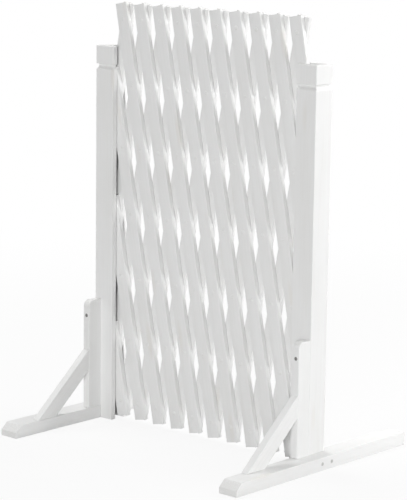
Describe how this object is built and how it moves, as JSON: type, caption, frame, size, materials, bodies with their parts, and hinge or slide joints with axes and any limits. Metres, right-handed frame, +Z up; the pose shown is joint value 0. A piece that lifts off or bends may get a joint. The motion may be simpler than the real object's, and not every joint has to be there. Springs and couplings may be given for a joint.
{
  "type": "expandable trellis fence",
  "caption": "Free-standing garden fence with a riveted scissor lattice that slides open between two slotted posts on braced feet.",
  "frame": {"origin": "On the floor, in the middle of the rectangle round the two feet, with the lattice at its rest opening.", "axes": "+X from the left post to the right post, +Y from the braced front to the rear, +Z up."},
  "size_m": [0.6566, 0.536, 0.9038],
  "materials": {
    "painted_wood": "white satin paint",
    "rivet_metal": "white painted rivets",
    "screw_steel": "dark zinc-plated steel"
  },
  "bodies": {
    "left_stand": {"left_post": "painted_wood", "left_foot": "painted_wood", "left_strut": "painted_wood", "left_brace": "painted_wood", "left_foot_screws": "screw_steel", "left_base_screws": "screw_steel", "left_strut_screw": "screw_steel", "left_brace_screw": "screw_steel", "left_pivot_screw": "screw_steel"},
    "right_stand": {"right_post": "painted_wood", "right_foot": "painted_wood", "right_strut": "painted_wood", "right_brace": "painted_wood", "right_foot_screws": "screw_steel", "right_base_screws": "screw_steel", "right_strut_screw": "screw_steel", "right_brace_screw": "screw_steel", "right_pivot_screw": "screw_steel"},
    "front_slat_01": {"front_slat_01": "painted_wood", "rivets_01": "rivet_metal"},
    "back_slat_01": {"back_slat_01": "painted_wood"},
    "front_slat_02": {"front_slat_02": "painted_wood", "rivets_02": "rivet_metal"},
    "back_slat_02": {"back_slat_02": "painted_wood"},
    "front_slat_03": {"front_slat_03": "painted_wood", "rivets_03": "rivet_metal"},
    "back_slat_03": {"back_slat_03": "painted_wood"},
    "front_slat_04": {"front_slat_04": "painted_wood", "rivets_04": "rivet_metal"},
    "back_slat_04": {"back_slat_04": "painted_wood"},
    "front_slat_05": {"front_slat_05": "painted_wood", "rivets_05": "rivet_metal"},
    "back_slat_05": {"back_slat_05": "painted_wood"},
    "front_slat_06": {"front_slat_06": "painted_wood", "rivets_06": "rivet_metal"},
    "back_slat_06": {"back_slat_06": "painted_wood"},
    "front_slat_07": {"front_slat_07": "painted_wood", "rivets_07": "rivet_metal"},
    "back_slat_07": {"back_slat_07": "painted_wood"},
    "front_slat_08": {"front_slat_08": "painted_wood", "rivets_08": "rivet_metal"},
    "back_slat_08": {"back_slat_08": "painted_wood"},
    "front_slat_09": {"front_slat_09": "painted_wood", "rivets_09": "rivet_metal"},
    "back_slat_09": {"back_slat_09": "painted_wood"},
    "front_slat_10": {"front_slat_10": "painted_wood", "rivets_10": "rivet_metal"},
    "back_slat_10": {"back_slat_10": "painted_wood"},
    "front_slat_11": {"front_slat_11": "painted_wood", "rivets_11": "rivet_metal"},
    "back_slat_11": {"back_slat_11": "painted_wood"},
    "front_slat_12": {"front_slat_12": "painted_wood", "rivets_12": "rivet_metal"},
    "back_slat_12": {"back_slat_12": "painted_wood"},
    "front_slat_13": {"front_slat_13": "painted_wood", "rivets_13": "rivet_metal"},
    "back_slat_13": {"back_slat_13": "painted_wood"}
  },
  "joints": [
    {"name": "lattice_opening", "type": "hinge", "parent": "left_stand", "child": "front_slat_02", "pos_m": [-0.26233, 0.009, 0.456], "axis": [0, -1, 0], "range_deg": [-4.3, 27.2]},
    {"name": "back_slat_02_pivot", "type": "hinge", "parent": "left_stand", "child": "back_slat_02", "pos_m": [-0.26233, 0.009, 0.456], "axis": [0, 1, 0], "range_deg": [-4.3, 27.2]},
    {"name": "back_slat_03_pivot", "type": "hinge", "parent": "front_slat_02", "child": "back_slat_03", "pos_m": [-0.2361, 0.009, 0.31848], "axis": [0, 1, 0], "range_deg": [-8.6, 54.4]},
    {"name": "back_slat_04_pivot", "type": "hinge", "parent": "front_slat_02", "child": "back_slat_04", "pos_m": [-0.20987, 0.009, 0.18096], "axis": [0, 1, 0], "range_deg": [-8.6, 54.4]},
    {"name": "back_slat_05_pivot", "type": "hinge", "parent": "front_slat_02", "child": "back_slat_05", "pos_m": [-0.18363, 0.009, 0.04344], "axis": [0, 1, 0], "range_deg": [-8.6, 54.4]},
    {"name": "front_slat_01_pivot", "type": "hinge", "parent": "back_slat_04", "child": "front_slat_01", "pos_m": [-0.2361, 0.009, 0.04344], "axis": [0, -1, 0], "range_deg": [-8.6, 54.4]},
    {"name": "front_slat_03_pivot", "type": "hinge", "parent": "back_slat_05", "child": "front_slat_03", "pos_m": [-0.1574, 0.009, 0.18096], "axis": [0, -1, 0], "range_deg": [-8.6, 54.4]},
    {"name": "front_slat_04_pivot", "type": "hinge", "parent": "back_slat_05", "child": "front_slat_04", "pos_m": [-0.13117, 0.009, 0.31848], "axis": [0, -1, 0], "range_deg": [-8.6, 54.4]},
    {"name": "front_slat_05_pivot", "type": "hinge", "parent": "back_slat_05", "child": "front_slat_05", "pos_m": [-0.10493, 0.009, 0.456], "axis": [0, -1, 0], "range_deg": [-8.6, 54.4]},
    {"name": "front_slat_06_pivot", "type": "hinge", "parent": "back_slat_05", "child": "front_slat_06", "pos_m": [-0.0787, 0.009, 0.59352], "axis": [0, -1, 0], "range_deg": [-8.6, 54.4]},
    {"name": "front_slat_07_pivot", "type": "hinge", "parent": "back_slat_05", "child": "front_slat_07", "pos_m": [-0.05247, 0.009, 0.73104], "axis": [0, -1, 0], "range_deg": [-8.6, 54.4]},
    {"name": "front_slat_08_pivot", "type": "hinge", "parent": "back_slat_05", "child": "front_slat_08", "pos_m": [-0.02623, 0.009, 0.86856], "axis": [0, -1, 0], "range_deg": [-8.6, 54.4]},
    {"name": "back_slat_01_pivot", "type": "hinge", "parent": "front_slat_04", "child": "back_slat_01", "pos_m": [-0.2361, 0.009, 0.86856], "axis": [0, 1, 0], "range_deg": [-8.6, 54.4]},
    {"name": "back_slat_06_pivot", "type": "hinge", "parent": "front_slat_08", "child": "back_slat_06", "pos_m": [0, 0.009, 0.73104], "axis": [0, 1, 0], "range_deg": [-8.6, 54.4]},
    {"name": "back_slat_07_pivot", "type": "hinge", "parent": "front_slat_08", "child": "back_slat_07", "pos_m": [0.02623, 0.009, 0.59352], "axis": [0, 1, 0], "range_deg": [-8.6, 54.4]},
    {"name": "back_slat_08_pivot", "type": "hinge", "parent": "front_slat_08", "child": "back_slat_08", "pos_m": [0.05247, 0.009, 0.456], "axis": [0, 1, 0], "range_deg": [-8.6, 54.4]},
    {"name": "back_slat_09_pivot", "type": "hinge", "parent": "front_slat_08", "child": "back_slat_09", "pos_m": [0.0787, 0.009, 0.31848], "axis": [0, 1, 0], "range_deg": [-8.6, 54.4]},
    {"name": "back_slat_10_pivot", "type": "hinge", "parent": "front_slat_08", "child": "back_slat_10", "pos_m": [0.10493, 0.009, 0.18096], "axis": [0, 1, 0], "range_deg": [-8.6, 54.4]},
    {"name": "back_slat_11_pivot", "type": "hinge", "parent": "front_slat_08", "child": "back_slat_11", "pos_m": [0.13117, 0.009, 0.04344], "axis": [0, 1, 0], "range_deg": [-8.6, 54.4]},
    {"name": "front_slat_09_pivot", "type": "hinge", "parent": "back_slat_11", "child": "front_slat_09", "pos_m": [0.1574, 0.009, 0.18096], "axis": [0, -1, 0], "range_deg": [-8.6, 54.4]},
    {"name": "front_slat_10_pivot", "type": "hinge", "parent": "back_slat_11", "child": "front_slat_10", "pos_m": [0.18363, 0.009, 0.31848], "axis": [0, -1, 0], "range_deg": [-8.6, 54.4]},
    {"name": "front_slat_11_pivot", "type": "hinge", "parent": "back_slat_11", "child": "front_slat_11", "pos_m": [0.20987, 0.009, 0.456], "axis": [0, -1, 0], "range_deg": [-8.6, 54.4]},
    {"name": "front_slat_12_pivot", "type": "hinge", "parent": "back_slat_11", "child": "front_slat_12", "pos_m": [0.2361, 0.009, 0.59352], "axis": [0, -1, 0], "range_deg": [-8.6, 54.4]},
    {"name": "front_slat_13_pivot", "type": "hinge", "parent": "back_slat_11", "child": "front_slat_13", "pos_m": [0.26233, 0.009, 0.73104], "axis": [0, -1, 0], "range_deg": [-8.6, 54.4]},
    {"name": "back_slat_12_pivot", "type": "hinge", "parent": "front_slat_12", "child": "back_slat_12", "pos_m": [0.26233, 0.009, 0.456], "axis": [0, 1, 0], "range_deg": [-8.6, 54.4]},
    {"name": "back_slat_13_pivot", "type": "hinge", "parent": "front_slat_11", "child": "back_slat_13", "pos_m": [0.26233, 0.009, 0.18096], "axis": [0, 1, 0], "range_deg": [-8.6, 54.4]},
    {"name": "right_stand_pivot", "type": "hinge", "parent": "front_slat_12", "child": "right_stand", "pos_m": [0.26233, 0.009, 0.456], "axis": [0, 1, 0], "range_deg": [-4.3, 27.2]}
  ],
  "couplings": [
    {"joint": "back_slat_02_pivot", "follows": "lattice_opening", "ratio": 1},
    {"joint": "back_slat_03_pivot", "follows": "lattice_opening", "ratio": 2},
    {"joint": "back_slat_04_pivot", "follows": "lattice_opening", "ratio": 2},
    {"joint": "back_slat_05_pivot", "follows": "lattice_opening", "ratio": 2},
    {"joint": "front_slat_01_pivot", "follows": "lattice_opening", "ratio": 2},
    {"joint": "front_slat_03_pivot", "follows": "lattice_opening", "ratio": 2},
    {"joint": "front_slat_04_pivot", "follows": "lattice_opening", "ratio": 2},
    {"joint": "front_slat_05_pivot", "follows": "lattice_opening", "ratio": 2},
    {"joint": "front_slat_06_pivot", "follows": "lattice_opening", "ratio": 2},
    {"joint": "front_slat_07_pivot", "follows": "lattice_opening", "ratio": 2},
    {"joint": "front_slat_08_pivot", "follows": "lattice_opening", "ratio": 2},
    {"joint": "back_slat_01_pivot", "follows": "lattice_opening", "ratio": 2},
    {"joint": "back_slat_06_pivot", "follows": "lattice_opening", "ratio": 2},
    {"joint": "back_slat_07_pivot", "follows": "lattice_opening", "ratio": 2},
    {"joint": "back_slat_08_pivot", "follows": "lattice_opening", "ratio": 2},
    {"joint": "back_slat_09_pivot", "follows": "lattice_opening", "ratio": 2},
    {"joint": "back_slat_10_pivot", "follows": "lattice_opening", "ratio": 2},
    {"joint": "back_slat_11_pivot", "follows": "lattice_opening", "ratio": 2},
    {"joint": "front_slat_09_pivot", "follows": "lattice_opening", "ratio": 2},
    {"joint": "front_slat_10_pivot", "follows": "lattice_opening", "ratio": 2},
    {"joint": "front_slat_11_pivot", "follows": "lattice_opening", "ratio": 2},
    {"joint": "front_slat_12_pivot", "follows": "lattice_opening", "ratio": 2},
    {"joint": "front_slat_13_pivot", "follows": "lattice_opening", "ratio": 2},
    {"joint": "back_slat_12_pivot", "follows": "lattice_opening", "ratio": 2},
    {"joint": "back_slat_13_pivot", "follows": "lattice_opening", "ratio": 2},
    {"joint": "right_stand_pivot", "follows": "lattice_opening", "ratio": 1}
  ]
}
